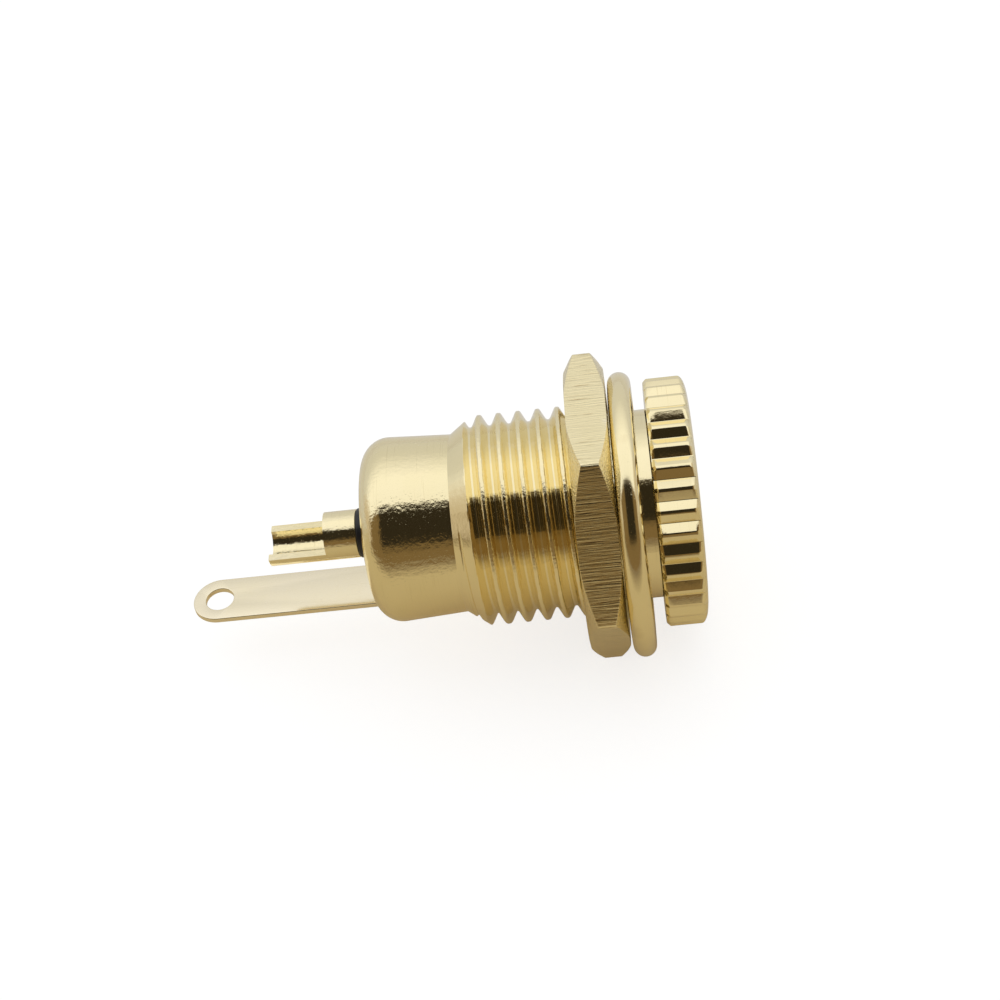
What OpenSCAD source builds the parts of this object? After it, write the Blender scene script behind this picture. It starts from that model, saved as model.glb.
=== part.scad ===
// Panel-mount dc barrel jack, 5.5 x 2.1 mm plug, for an 11 mm hole.
// X runs along the barrel towards the plug mouth, Z is up, and the origin is
// on the axis in the plane of the head's back face, where the panel seats.

/* [Knurled head] */
// Diameter over the knurl's crests
head_d = 12.62; // [12.2:0.02:14]
// Thickness of the head
head_t = 2.15; // [1.9:0.05:4]
// Number of V teeth round the head
knurl_count = 36; // [24:1:48]
// Slope of a tooth's flanks from the tangent
knurl_slope = 30; // [20:1:38]
// Axial length of the chamfer at the head's back edge
head_back_chamfer = 0.18; // [0.1:0.02:0.3]
// Axial length of the bevel at the head's front edge
head_front_bevel = 0.42; // [0.2:0.02:0.6]
// Radial width of the bevel at the head's front edge
head_front_face_drop = 0.62; // [0.3:0.02:0.9]

/* [Threaded bush] */
// Diameter over the thread's crests
thread_d = 10.78; // [10.6:0.02:11]
// Thread pitch
thread_pitch = 1; // [0.75:0.05:1.25]
// Depth of the thread
thread_depth = 0.59; // [0.4:0.01:0.6]
// Number of full crests
thread_crests = 7; // [5:1:8]
// Width of the flat left on each crest
crest_flat = 0.24; // [0.1:0.02:0.3]
// Width of the flat left in each root
root_flat = 0.18; // [0.1:0.02:0.3]
// Length of the plain neck behind the head
neck_l = 1.96; // [1.9:0.02:3]
// Diameter of the plain neck
neck_d = 9.6; // [9.3:0.05:9.7]

/* [Rear barrel] */
// Diameter where the barrel starts behind the thread
barrel_front_d = 9.12; // [9:0.02:9.3]
// Wall of the barrel's rear outside the insulator's seat
barrel_wall = 0.85; // [0.8:0.01:1.1]
// Length of the run-out from the barrel up to the first full turn
runout_l = 1.03; // [0.9:0.01:1.3]
// Height of the run-out's crest over the thread's root
runout_h = 0.34; // [0.2:0.02:0.5]
// Distance of the run-out's crest behind the first full turn
runout_gap = 0.34; // [0.3:0.01:0.5]
// Width of the flat on the run-out's crest
runout_flat = 0.12; // [0.06:0.02:0.2]
// Length of the barrel behind the cone
barrel_l = 4.64; // [4.2:0.02:7]
// Radius of the rolled rear edge
rear_edge_r = 1.4; // [1.1:0.05:1.45]
// Thickness of the rolled lip that holds the insulator in
rear_lip = 0.22; // [0.15:0.01:0.4]

/* [Bores] */
// Diameter of the plug mouth
mouth_d = 6; // [5.8:0.1:6.2]
// Length of the mouth's lip
mouth_l = 1.25; // [0.9:0.05:1.4]
// Chamfer round the mouth
mouth_chamfer = 0.25; // [0.1:0.05:0.4]
// Diameter of the chamber that holds the sleeve contact
chamber_d = 6.8; // [6.6:0.1:7.2]
// Diameter of the seat for the solder lug and the insulator's flange
seat_d = 7.8; // [7.6:0.1:7.9]

/* [Panel nut] */
// Width across the flats
nut_flats = 14; // [13:0.1:15]
// Thickness of the nut
nut_t = 2; // [1.5:0.1:2.4]
// Angle of the chamfers on the corners
nut_chamfer_angle = 30; // [20:1:34]
// Distance outside the flats at which the chamfers start
nut_chamfer_start = 0.08; // [0:0.02:0.2]
// Gap between the nut and the washer
nut_gap = 0.06; // [0.02:0.02:0.3]
// Countersink at each end of the nut's bore
nut_countersink = 0.3; // [0.1:0.05:0.4]

/* [Washer] */
// Outer diameter of the washer
washer_d = 14.5; // [13.6:0.1:15]
// Bore of the washer
washer_bore_d = 12; // [11.9:0.05:12.4]
// Thickness of the washer
washer_t = 1.33; // [0.8:0.01:1.38]
// Gap from the washer to the head
washer_gap = 0.52; // [0.5:0.01:1.2]
// How far the loose washer sits to the side
washer_side = 0.5; // [0:0.02:0.54]
// How far the loose washer hangs down
washer_sag = 0.15; // [0:0.01:0.3]

/* [Centre pin] */
// Diameter of the contact pin
pin_d = 2.1; // [1.9:0.05:2.5]
// Distance of the pin's tip inside the mouth
pin_recess = 1.55; // [1.5:0.05:3]
// Radius of the pin's rounded tip
pin_tip_r = 0.5; // [0.2:0.05:0.8]
// Diameter of the flange moulded into the insulator
pin_flange_d = 3.2; // [2.8:0.1:4]
// Thickness of that flange
pin_flange_t = 0.8; // [0.5:0.1:1.2]
// Distance of that flange behind the plug chamber
pin_flange_depth = 2.6; // [2:0.1:4]
// Diameter of the pin's shank inside the insulator
pin_shank_d = 1.7; // [1.5:0.05:1.75]
// Diameter of the collar and of the solder cup
cup_d = 2.5; // [2.42:0.02:2.54]
// Length of the collar
collar_l = 1.7; // [1.2:0.1:2.5]
// Length of the open solder cup
cup_l = 3; // [2:0.1:4]
// Bore of the solder cup
cup_bore_d = 1.46; // [1.1:0.02:1.7]
// Height of the cup's cut faces below the axis
cup_cut_drop = 0.08; // [0:0.02:0.3]

/* [Insulator] */
// Depth of the plug chamber from the mouth
plug_depth = 9.8; // [9.5:0.1:10.5]
// Diameter of the insulator's front body
insulator_d = 5.88; // [5.6:0.02:6]
// Diameter of the hub round the pin at the rear
hub_d = 2.56; // [2.4:0.02:3.2]
// Length of the hub outside the barrel
hub_l = 0.6; // [0.3:0.05:1]
// Thickness of the flange in the barrel's seat
flange_t = 0.7; // [0.4:0.05:1]
// Recess of the rear face inside the barrel's rolled edge
face_recess = 0.1; // [0.05:0.01:0.15]

/* [Sleeve contact] */
// Wall of the sprung sleeve
sleeve_wall = 0.35; // [0.25:0.01:0.4]
// Inside diameter at the fingers' waist
waist_d = 5.46; // [5.3:0.02:5.6]
// Width of the slots between the fingers
finger_slot = 0.5; // [0.3:0.05:0.8]
// Length of the fingers
finger_l = 6.8; // [4:0.1:8]
// Distance of the waist behind the fingers' tips
waist_l = 2.4; // [1.6:0.1:3.5]
// How far the fingers' tips stand inward
finger_rest = 0.14; // [0.05:0.01:0.2]

/* [Solder lug] */
// Thickness of the lug's sheet
lug_t = 0.3; // [0.2:0.05:0.4]
// Width of the lug's tab
lug_w = 2.85; // [2.4:0.05:3]
// Distance of the tab's upper face below the axis
lug_drop = 3.88; // [3.5:0.02:3.94]
// Reach of the tab's round end behind the barrel
lug_reach = 10.27; // [6:0.01:14]
// Diameter of the eye
eye_d = 1.5; // [1:0.1:1.8]
// Inside radius of the bend
lug_bend_r = 0.15; // [0.1:0.01:0.2]

/* [Fits] */
// Radial clearance of the pieces fitted inside the barrel
fit = 0.03; // [0.02:0.01:0.05]
// Radial clearance of the nut over the thread's crests
nut_clearance = 0.04; // [0.02:0.01:0.06]
// Clearance of the lug in its slot, each side
slot_clearance = 0.1; // [0.05:0.01:0.2]
// Clearance of the insulator over the lug's bend
bend_clearance = 0.05; // [0.02:0.01:0.1]

/* [Hidden] */
gold = [0.86, 0.75, 0.47];
pale_gold = [0.90, 0.83, 0.62];
black = [0.07, 0.07, 0.07];
round_fn = 96;
over = 1;
skin = 0.1;

head_r = head_d / 2;
knurl_depth = PI * head_d / knurl_count / 2 * tan(knurl_slope);
crest_r = thread_d / 2;
root_r = crest_r - thread_depth;
thread_l = thread_crests * thread_pitch;
thread_x = -neck_l - thread_l;
cone_x = thread_x - runout_l;
runout_x = thread_x - runout_gap;
rear_x = cone_x - barrel_l;
barrel_front_r = barrel_front_d / 2;

chamber_x = head_t - mouth_l;
lip_x = rear_x + rear_lip;
seat_x = lip_x + flange_t + lug_t;
seat_r = seat_d / 2;
barrel_rear_r = seat_r + barrel_wall;
edge_centre_r = barrel_rear_r - rear_edge_r;
opening_r = edge_centre_r - rear_lip;
chamber_r = chamber_d / 2;

washer_x = -washer_gap - washer_t;
nut_x = washer_x - nut_gap - nut_t;

plug_end_x = head_t - plug_depth;
hub_x = rear_x - hub_l;
collar_x = hub_x - collar_l;
cup_x = collar_x - cup_l;
flange_x = plug_end_x - pin_flange_depth;

slot_w = lug_w + 2 * slot_clearance;
bend_z = -lug_drop + lug_bend_r;
flange_flat_z = bend_z + bend_clearance;
slot_top = sqrt(pow(opening_r, 2) - pow(slot_w / 2, 2)) - bend_clearance;

// Turns a shape made along Z to lie along X.
module along_x() {
    rotate([0, 90, 0]) children();
}

// A turned solid: each point is [radius, x].
module turned(points) {
    along_x() rotate_extrude($fn = round_fn) polygon(points);
}

// Points on an arc, as [radius, x], from angle a to angle b.
function arc(centre, r, a, b, steps) = [
    for (i = [0:steps]) centre + r * [cos(a + (b - a) * i / steps), sin(a + (b - a) * i / steps)]
];

// One tooth of the thread's section, with its root at x.
function thread_tooth(x) = [
    [root_r, x + root_flat / 2],
    [crest_r, x + thread_pitch / 2 - crest_flat / 2],
    [crest_r, x + thread_pitch / 2 + crest_flat / 2],
    [root_r, x + thread_pitch - root_flat / 2],
];

// Star outline of the knurl, crests and roots in turn.
function knurl_outline() = [
    for (i = [0:2 * knurl_count - 1])
        (i % 2 == 0 ? head_r : head_r - knurl_depth) * [cos(180 * i / knurl_count), sin(180 * i / knurl_count)]
];

module head() {
    intersection() {
        along_x() linear_extrude(head_t) polygon(knurl_outline());
        turned([
            [0, 0],
            [head_r - head_back_chamfer, 0],
            [head_r + skin, head_back_chamfer + skin],
            [head_r + skin, head_t - head_front_bevel * (1 + skin / head_front_face_drop)],
            [head_r - head_front_face_drop, head_t],
            [0, head_t],
        ]);
    }
}

module bush() {
    turned(concat(
        [[0, rear_x]],
        arc([edge_centre_r, rear_x + rear_edge_r], rear_edge_r, -90, 0, 8),
        [[barrel_front_r, cone_x]],
        [
            [root_r + runout_h, runout_x - runout_flat / 2],
            [root_r + runout_h, runout_x + runout_flat / 2],
        ],
        [for (i = [0:thread_crests - 1]) each thread_tooth(thread_x + i * thread_pitch)],
        [[neck_d / 2, -neck_l], [neck_d / 2, over], [0, over]]
    ));
}

module shell_bores() {
    turned([
        [0, rear_x - over],
        [opening_r, rear_x - over],
        [opening_r, lip_x],
        [seat_r, lip_x],
        [seat_r, seat_x],
        [chamber_r, seat_x],
        [chamber_r, chamber_x],
        [mouth_d / 2, chamber_x],
        [mouth_d / 2, head_t - mouth_chamfer],
        [mouth_d / 2 + mouth_chamfer + over, head_t + over],
        [0, head_t + over],
    ]);
}

// Slot at the bottom of the rear edge, where the lug comes out.
module lug_slot() {
    translate([rear_x - over, -slot_w / 2, -barrel_rear_r - over])
        cube([seat_x - rear_x + over, slot_w, barrel_rear_r + over - slot_top]);
}

module shell() {
    color(gold) difference() {
        union() {
            head();
            bush();
        }
        shell_bores();
        lug_slot();
    }
}

module panel_nut() {
    nut_bore_r = crest_r + nut_clearance;
    flat_r = nut_flats / 2;
    corner_r = flat_r / cos(30);
    chamfer_r = flat_r + nut_chamfer_start;
    chamfer = (corner_r + skin - chamfer_r) * tan(nut_chamfer_angle);
    color(gold) translate([nut_x, 0, 0]) difference() {
        intersection() {
            along_x() rotate([0, 0, 30]) cylinder(r = corner_r, h = nut_t, $fn = 6);
            turned([
                [0, 0],
                [chamfer_r, 0],
                [corner_r + skin, chamfer],
                [corner_r + skin, nut_t - chamfer],
                [chamfer_r, nut_t],
                [0, nut_t],
            ]);
        }
        turned([
            [0, -over],
            [nut_bore_r + nut_countersink + over, -over],
            [nut_bore_r, nut_countersink],
            [nut_bore_r, nut_t - nut_countersink],
            [nut_bore_r + nut_countersink + over, nut_t + over],
            [0, nut_t + over],
        ]);
    }
}

// Loose washer with a full round rim, hanging off centre on the bush.
module washer() {
    rim_r = washer_t / 2;
    rim_centre = washer_d / 2 - rim_r;
    bore_r = washer_bore_d / 2;
    color(gold) translate([washer_x + rim_r, -washer_side, -washer_sag]) along_x()
        rotate_extrude($fn = round_fn) {
            intersection() {
                translate([rim_centre, 0]) circle(r = rim_r, $fn = 48);
                translate([rim_centre, -rim_r]) square([rim_r, washer_t]);
            }
            translate([bore_r, -rim_r]) square([rim_centre - bore_r, washer_t]);
        }
}

// Sprung sleeve that grips the plug's barrel.
module sleeve_contact() {
    outer_r = chamber_r - fit;
    inner_r = outer_r - sleeve_wall;
    waist_r = waist_d / 2;
    tip_x = chamber_x - fit;
    waist_x = tip_x - waist_l;
    finger_x = tip_x - finger_l;
    color(pale_gold) difference() {
        turned([
            [inner_r, seat_x],
            [outer_r, seat_x],
            [outer_r, finger_x],
            [waist_r + sleeve_wall, waist_x],
            [outer_r - finger_rest, tip_x],
            [inner_r - finger_rest, tip_x],
            [waist_r, waist_x],
            [inner_r, finger_x],
        ]);
        for (a = [45, 135])
            rotate([a, 0, 0]) translate([finger_x - finger_slot, -finger_slot / 2, -chamber_d])
                cube([finger_l + finger_slot + over, finger_slot, 2 * chamber_d]);
    }
}

// Black moulding that carries the pin and closes the barrel.
module insulator() {
    body_r = insulator_d / 2;
    hole_r = pin_shank_d / 2 + fit;
    groove_r = pin_flange_d / 2 + fit;
    color(black) difference() {
        turned([
            [0, hub_x],
            [hub_d / 2, hub_x],
            [hub_d / 2, rear_x + face_recess],
            [opening_r - fit, rear_x + face_recess],
            [opening_r - fit, lip_x],
            [seat_r - fit, lip_x],
            [seat_r - fit, lip_x + flange_t],
            [body_r, lip_x + flange_t],
            [body_r, plug_end_x],
            [0, plug_end_x],
        ]);
        turned([
            [0, hub_x - over],
            [hole_r, hub_x - over],
            [hole_r, flange_x - fit],
            [groove_r, flange_x - fit],
            [groove_r, flange_x + pin_flange_t + fit],
            [hole_r, flange_x + pin_flange_t + fit],
            [hole_r, plug_end_x + over],
            [0, plug_end_x + over],
        ]);
        translate([rear_x - over, -slot_w / 2, -seat_r - over])
            cube([flange_t + rear_lip + over, slot_w, seat_r + over + flange_flat_z]);
    }
}

module centre_pin() {
    pin_r = pin_d / 2;
    shank_r = pin_shank_d / 2;
    cup_r = cup_d / 2;
    tip_x = head_t - pin_recess;
    color(gold) difference() {
        turned(concat(
            [
                [0, cup_x],
                [cup_r, cup_x],
                [cup_r, hub_x],
                [shank_r, hub_x],
                [shank_r, flange_x],
                [pin_flange_d / 2, flange_x],
                [pin_flange_d / 2, flange_x + pin_flange_t],
                [shank_r, flange_x + pin_flange_t],
                [shank_r, plug_end_x + fit],
                [pin_r, plug_end_x + fit],
            ],
            arc([pin_r - pin_tip_r, tip_x - pin_tip_r], pin_tip_r, 0, 90, 5),
            [[0, tip_x]]
        ));
        translate([cup_x - over, 0, 0]) along_x() cylinder(d = cup_bore_d, h = cup_l + over, $fn = 48);
        translate([cup_x - over, -cup_d, -cup_cut_drop]) cube([cup_l + over, 2 * cup_d, cup_d]);
    }
}

// Stamped lug: a ring behind the seat's step, bent back into a flat tab.
module solder_lug() {
    ring_r = seat_r - fit;
    hole_r = insulator_d / 2 + fit;
    bend_x = seat_x - lug_t - lug_bend_r;
    end_x = rear_x - lug_reach + lug_w / 2;
    color(pale_gold) {
        difference() {
            union() {
                intersection() {
                    translate([seat_x - lug_t, 0, 0]) along_x() cylinder(r = ring_r, h = lug_t, $fn = round_fn);
                    translate([seat_x - lug_t - over, -ring_r - over, bend_z])
                        cube([lug_t + 2 * over, 2 * (ring_r + over), ring_r + over - bend_z]);
                }
                translate([seat_x - lug_t, -lug_w / 2, bend_z]) cube([lug_t, lug_w, -bend_z]);
                lug_bend(bend_x, bend_z);
                translate([0, 0, -lug_drop - lug_t]) linear_extrude(lug_t) {
                    translate([end_x, -lug_w / 2]) square([bend_x - end_x, lug_w]);
                    translate([end_x, 0]) circle(d = lug_w, $fn = 64);
                }
            }
            translate([seat_x - lug_t - over, 0, 0]) along_x() cylinder(r = hole_r, h = lug_t + 2 * over, $fn = round_fn);
            translate([end_x, 0, -lug_drop - lug_t - over]) cylinder(d = eye_d, h = lug_t + 2 * over, $fn = 48);
        }
    }
}

// Quarter bend between the lug's ring and its tab.
module lug_bend(x, z) {
    intersection() {
        translate([x, 0, z]) rotate([90, 0, 0]) difference() {
            cylinder(r = lug_bend_r + lug_t, h = lug_w, center = true, $fn = 48);
            cylinder(r = lug_bend_r, h = lug_w + over, center = true, $fn = 48);
        }
        translate([x, -lug_w / 2, z - lug_bend_r - lug_t]) cube([lug_bend_r + lug_t, lug_w, lug_bend_r + lug_t]);
    }
}

shell();
panel_nut();
washer();
sleeve_contact();
insulator();
centre_pin();
solder_lug();
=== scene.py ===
import math
import bmesh
import bpy
from mathutils import Matrix, Vector


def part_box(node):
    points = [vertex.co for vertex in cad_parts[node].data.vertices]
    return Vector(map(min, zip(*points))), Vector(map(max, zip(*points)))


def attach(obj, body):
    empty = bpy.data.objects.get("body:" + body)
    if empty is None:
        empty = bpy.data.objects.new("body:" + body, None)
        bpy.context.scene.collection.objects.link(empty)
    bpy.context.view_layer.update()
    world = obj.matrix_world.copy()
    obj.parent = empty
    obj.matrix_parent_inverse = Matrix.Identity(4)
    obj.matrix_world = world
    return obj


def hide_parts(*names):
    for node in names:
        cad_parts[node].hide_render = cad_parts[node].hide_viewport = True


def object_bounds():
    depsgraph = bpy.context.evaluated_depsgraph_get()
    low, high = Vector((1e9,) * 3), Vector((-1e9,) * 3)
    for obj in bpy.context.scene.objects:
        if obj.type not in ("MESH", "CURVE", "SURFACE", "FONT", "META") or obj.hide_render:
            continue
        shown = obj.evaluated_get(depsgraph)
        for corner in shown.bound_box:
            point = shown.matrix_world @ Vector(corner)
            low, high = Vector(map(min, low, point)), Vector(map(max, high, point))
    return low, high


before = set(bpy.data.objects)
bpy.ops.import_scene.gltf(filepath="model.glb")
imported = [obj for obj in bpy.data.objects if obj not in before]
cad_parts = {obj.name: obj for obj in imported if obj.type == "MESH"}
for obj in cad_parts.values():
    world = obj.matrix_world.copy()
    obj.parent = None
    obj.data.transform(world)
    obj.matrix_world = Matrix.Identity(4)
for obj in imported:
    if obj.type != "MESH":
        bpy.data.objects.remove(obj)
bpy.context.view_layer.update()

mm = 0.001
weldDistance = 0.0005 * mm  # points closer than this become one
overshoot = 1               # mm, how far a cutter passes the face it cuts
print("frame loaded:", len(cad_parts), "nodes")


def addMesh(name, verts, faces):
    mesh = bpy.data.meshes.new(name)
    mesh.from_pydata([[c * mm for c in v] for v in verts], [], faces)
    piece = bpy.data.objects.new(name, mesh)
    bpy.context.scene.collection.objects.link(piece)
    return piece


def smoothShade(piece, sharpAngle=30):
    bm = bmesh.new()
    bm.from_mesh(piece.data)
    bmesh.ops.remove_doubles(bm, verts=bm.verts, dist=weldDistance)
    bmesh.ops.dissolve_degenerate(bm, edges=bm.edges, dist=weldDistance)
    bmesh.ops.recalc_face_normals(bm, faces=bm.faces)
    limit = math.radians(sharpAngle)
    for face in bm.faces:
        face.smooth = True
    for edge in bm.edges:
        edge.smooth = edge.calc_face_angle(0) < limit
    bm.to_mesh(piece.data)
    bm.free()


def gridRing(rings):  # rings of [x, y, z] points, closed both ways
    count, across = len(rings), len(rings[0])
    verts = [p for ring in rings for p in ring]
    faces = []
    for i in range(count):
        a, b = i * across, (i + 1) % count * across
        for j in range(across):
            k = (j + 1) % across
            faces.append((a + j, b + j, b + k, a + k))
    return verts, faces


def around(angle, radius, x):  # angle in degrees from +Z towards -Y
    t = math.radians(angle)
    return (x, -radius * math.sin(t), radius * math.cos(t))


def turnedRings(profile, columns):  # profile points are (x, radius), in a closed loop
    return [[around(a, r, x) for a in columns] for x, r in profile]


def evenColumns(count):
    return [360 * i / count for i in range(count)]


def arcProfile(x, radius, size, start, end, steps):  # round stretch of a profile, angles in degrees
    points = []
    for i in range(steps + 1):
        t = math.radians(start + (end - start) * i / steps)
        points.append((x + size * math.sin(t), radius + size * math.cos(t)))
    return points


def lineProfile(start, end, steps):  # even points from start to end, without start itself
    return [tuple(a + (b - a) * i / steps for a, b in zip(start, end)) for i in range(1, steps + 1)]


def cutBox(name, low, high):
    corners = [(x, y, z) for x in (low[0], high[0]) for y in (low[1], high[1]) for z in (low[2], high[2])]
    sides = [(0, 1, 3, 2), (4, 6, 7, 5), (0, 4, 5, 1), (2, 3, 7, 6), (0, 2, 6, 4), (1, 5, 7, 3)]
    return addMesh(name, corners, sides)


def carve(piece, cutters):
    for cutter in cutters:
        smoothShade(cutter)
        modifier = piece.modifiers.new("carve", "BOOLEAN")
        modifier.operation = "DIFFERENCE"
        modifier.solver = "EXACT"
        modifier.object = cutter
        bpy.context.view_layer.update()
        shaped = piece.evaluated_get(bpy.context.evaluated_depsgraph_get())
        mesh = bpy.data.meshes.new_from_object(shaped)
        piece.modifiers.clear()
        piece.data = mesh
        bpy.data.objects.remove(cutter)


def finishPiece(piece, node, body, material):
    piece.data.materials.clear()
    piece.data.materials.append(material)
    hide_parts(node)
    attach(piece, body)
    print("piece", piece.name, "faces", len(piece.data.polygons))


def nodeBox(node):  # the CAD node's box in millimetres
    low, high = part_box(node)
    return [c / mm for c in low], [c / mm for c in high]


cameraLook = {
    "spot": (-0.93, -65.95, 65.95),  # where it stands, mm
    "tilt": 45,                      # how far it looks down
    "yaw": -4.23,                    # turn towards the rear of the jack
    "pitch": 0.58,
    "roll": -5.85,
    "lens": 65.73,
    "sensor": 36,
    "nearest": 0.001,                # clip range, m
    "farthest": 10,
}


def addCamera(look):
    data = bpy.data.cameras.new("camera")
    data.lens = look["lens"]
    data.sensor_width = look["sensor"]
    data.clip_start = look["nearest"]
    data.clip_end = look["farthest"]
    camera = bpy.data.objects.new("camera", data)
    turn = Matrix.Rotation(math.radians(-look["tilt"]), 4, "X")
    turn @= Matrix.Rotation(math.radians(-look["yaw"]), 4, "Z")
    turn @= Matrix.Rotation(math.radians(90 + look["pitch"]), 4, "X")
    turn @= Matrix.Rotation(math.radians(look["roll"]), 4, "Z")
    camera.matrix_world = Matrix.Translation(Vector(look["spot"]) * mm) @ turn
    bpy.context.scene.collection.objects.link(camera)
    bpy.context.scene.camera = camera


addCamera(cameraLook)
print("camera set")


def makeGroup(name, inputs, outputs):
    group = bpy.data.node_groups.new(name, "ShaderNodeTree")
    for label, kind, value in inputs:
        socket = group.interface.new_socket(name=label, in_out="INPUT", socket_type=kind)
        socket.default_value = value
    for label, kind in outputs:
        group.interface.new_socket(name=label, in_out="OUTPUT", socket_type=kind)
    start = group.nodes.new("NodeGroupInput")
    end = group.nodes.new("NodeGroupOutput")
    return group, start, end


def addNode(tree, kind, settings=None, **values):
    node = tree.nodes.new(kind)
    for key, value in (settings or {}).items():
        setattr(node, key, value)
    for key, value in values.items():
        node.inputs[key].default_value = value
    return node


def mathNode(tree, operation, a, b=None, c=None):
    node = tree.nodes.new("ShaderNodeMath")
    node.operation = operation
    for i, value in enumerate((a, b, c)):
        if value is None:
            continue
        if isinstance(value, (int, float)):
            node.inputs[i].default_value = value
        else:
            tree.links.new(value, node.inputs[i])
    return node.outputs[0]


def mixColour(tree, factor, a, b):
    node = tree.nodes.new("ShaderNodeMix")
    node.data_type = "RGBA"
    for socket, value in ((node.inputs[0], factor), (node.inputs[6], a), (node.inputs[7], b)):
        if isinstance(value, (int, float, tuple)):
            socket.default_value = value
        else:
            tree.links.new(value, socket)
    return node.outputs[2]


def mapRange(tree, value, low, high, toLow=0.0, toHigh=1.0, smooth=False):
    node = tree.nodes.new("ShaderNodeMapRange")
    node.interpolation_type = "SMOOTHSTEP" if smooth else "LINEAR"
    tree.links.new(value, node.inputs[0])
    for i, number in enumerate((low, high, toLow, toHigh)):
        if isinstance(number, (int, float)):
            node.inputs[i + 1].default_value = number
        else:
            tree.links.new(number, node.inputs[i + 1])
    return node.outputs[0]


grainShape = {
    "pits": (0.36, 0.27),       # noise levels between which a pit starts and is whole
    # noise levels between which painted shade in the tool marks' grooves starts and is whole
    "shadedLineLevels": (0.38, 0.3),
    "patches": (0.35, 0.65),    # where worn edges are broken up
    "goldStain": (0.35, 0.68),
    "mouldStain": (0.3, 0.7),
    "stainScale": 260.0,        # per metre
    "patchScale": 2600.0,
    "perMetre": 1000.0,         # turns a size in millimetres into a scale
    "rearBlend": 0.0002,        # metres over which the rear zone fades in
    "crestBlend": 0.00006,
    "pitRough": 0.15,
    "wearRough": 0.05,
    "breakUp": 0.5,
}


# Grain of the plating: soft ripple, fine pits and a slow stain, from the piece's own coordinates
def buildPlateGrain():
    group, start, end = makeGroup(
        "plateGrain",
        [("Ripple Size", "NodeSocketFloat", 0.3), ("Ripple", "NodeSocketFloat", 1.0),
         ("Pit Size", "NodeSocketFloat", 0.1), ("Pits", "NodeSocketFloat", 0.3)],
        [("Height", "NodeSocketFloat"), ("Pit Mask", "NodeSocketFloat"), ("Stain", "NodeSocketFloat")])
    place = addNode(group, "ShaderNodeTexCoord").outputs["Object"]
    ripple = addNode(group, "ShaderNodeTexNoise", Detail=3.0, Roughness=0.55)
    group.links.new(place, ripple.inputs["Vector"])
    group.links.new(mathNode(group, "DIVIDE", grainShape["perMetre"], start.outputs["Ripple Size"]),
                     ripple.inputs["Scale"])
    pits = addNode(group, "ShaderNodeTexNoise", Detail=2.0, Roughness=0.7)
    group.links.new(place, pits.inputs["Vector"])
    group.links.new(mathNode(group, "DIVIDE", grainShape["perMetre"], start.outputs["Pit Size"]),
                     pits.inputs["Scale"])
    pitMask = mapRange(group, pits.outputs[0], *grainShape["pits"])
    stain = addNode(group, "ShaderNodeTexNoise", Scale=grainShape["stainScale"], Detail=4.0, Roughness=0.6)
    group.links.new(place, stain.inputs["Vector"])
    up = mathNode(group, "MULTIPLY", ripple.outputs[0], start.outputs["Ripple"])
    down = mathNode(group, "MULTIPLY", pitMask, start.outputs["Pits"])
    group.links.new(mathNode(group, "SUBTRACT", up, down), end.inputs["Height"])
    group.links.new(pitMask, end.inputs["Pit Mask"])
    group.links.new(stain.outputs[0], end.inputs["Stain"])
    return group


# Tool lines: noise stretched along one way, so it reads as drawn, milled or turned marks; the low parts of
# the marks also give the mask where painted shade goes into their grooves
def buildToolLines():
    group, start, end = makeGroup(
        "toolLines",
        [("Along X", "NodeSocketFloat", 1.0), ("Across", "NodeSocketFloat", 20.0),
         ("Sharpness", "NodeSocketFloat", 0.5)],
        [("Height", "NodeSocketFloat"), ("Line Shade", "NodeSocketFloat")])
    place = addNode(group, "ShaderNodeTexCoord").outputs["Object"]
    stretch = addNode(group, "ShaderNodeVectorMath", {"operation": "MULTIPLY"})
    scale = addNode(group, "ShaderNodeCombineXYZ")
    group.links.new(mathNode(group, "MULTIPLY", start.outputs["Along X"], grainShape["perMetre"]),
                     scale.inputs[0])
    across = mathNode(group, "MULTIPLY", start.outputs["Across"], grainShape["perMetre"])
    group.links.new(across, scale.inputs[1])
    group.links.new(across, scale.inputs[2])
    group.links.new(place, stretch.inputs[0])
    group.links.new(scale.outputs[0], stretch.inputs[1])
    lines = addNode(group, "ShaderNodeTexNoise", Scale=1.0, Detail=4.0)
    group.links.new(stretch.outputs[0], lines.inputs["Vector"])
    group.links.new(start.outputs["Sharpness"], lines.inputs["Roughness"])
    group.links.new(lines.outputs[0], end.inputs["Height"])
    group.links.new(mapRange(group, lines.outputs[0], *grainShape["shadedLineLevels"]), end.inputs["Line Shade"])
    return group


# Wear: convex edges, rubbed bright and a little rougher
def buildEdgeWear():
    group, start, end = makeGroup(
        "edgeWear",
        [("Low", "NodeSocketFloat", 0.52), ("High", "NodeSocketFloat", 0.6),
         ("Break Up", "NodeSocketFloat", 0.5)],
        [("Mask", "NodeSocketFloat")])
    point = addNode(group, "ShaderNodeNewGeometry").outputs["Pointiness"]
    edge = mapRange(group, point, start.outputs["Low"], start.outputs["High"])
    place = addNode(group, "ShaderNodeTexCoord").outputs["Object"]
    broken = addNode(group, "ShaderNodeTexNoise", Scale=grainShape["patchScale"], Detail=3.0)
    group.links.new(place, broken.inputs["Vector"])
    patch = mapRange(group, broken.outputs[0], *grainShape["patches"])
    kept = mathNode(group, "SUBTRACT", 1.0, mathNode(group, "MULTIPLY", patch, start.outputs["Break Up"]))
    group.links.new(mathNode(group, "MULTIPLY", edge, kept), end.inputs["Mask"])
    return group


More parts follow.
